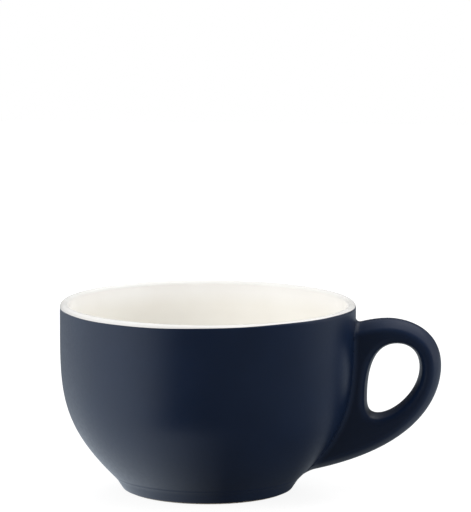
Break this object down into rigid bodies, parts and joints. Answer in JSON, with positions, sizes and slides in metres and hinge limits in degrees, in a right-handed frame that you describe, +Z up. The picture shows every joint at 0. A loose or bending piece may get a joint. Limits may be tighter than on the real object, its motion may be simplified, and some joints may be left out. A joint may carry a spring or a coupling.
{
  "type": "latte cup",
  "caption": "Wide round-bodied latte cup with an upright rim, a narrow foot and an ear handle with a finger hole; matt navy glaze outside, white gloss glaze inside.",
  "frame": {"origin": "on the surface that the cup stands on, under the middle of the cup's box, handle included", "axes": "+X from the bowl towards the handle, +Z up from the foot to the rim, the handle's flat sides facing -Y and +Y"},
  "size_m": [0.1322, 0.1026, 0.0654],
  "materials": {
    "bare_stoneware": "matte",
    "white_glaze": "gloss",
    "navy_glaze": "matte",
    "navy_base_glaze": "matte",
    "handle_stoneware": "matte",
    "slip": "matte",
    "navy_handle_glaze": "matte"
  },
  "bodies": {
    "root": {"cup_body": "bare_stoneware", "inner_glaze": "white_glaze", "outer_glaze": "navy_glaze", "base_glaze": "navy_base_glaze", "handle": "handle_stoneware", "handle_slip_joint": "slip", "handle_glaze": "navy_handle_glaze"}
  },
  "joints": []
}
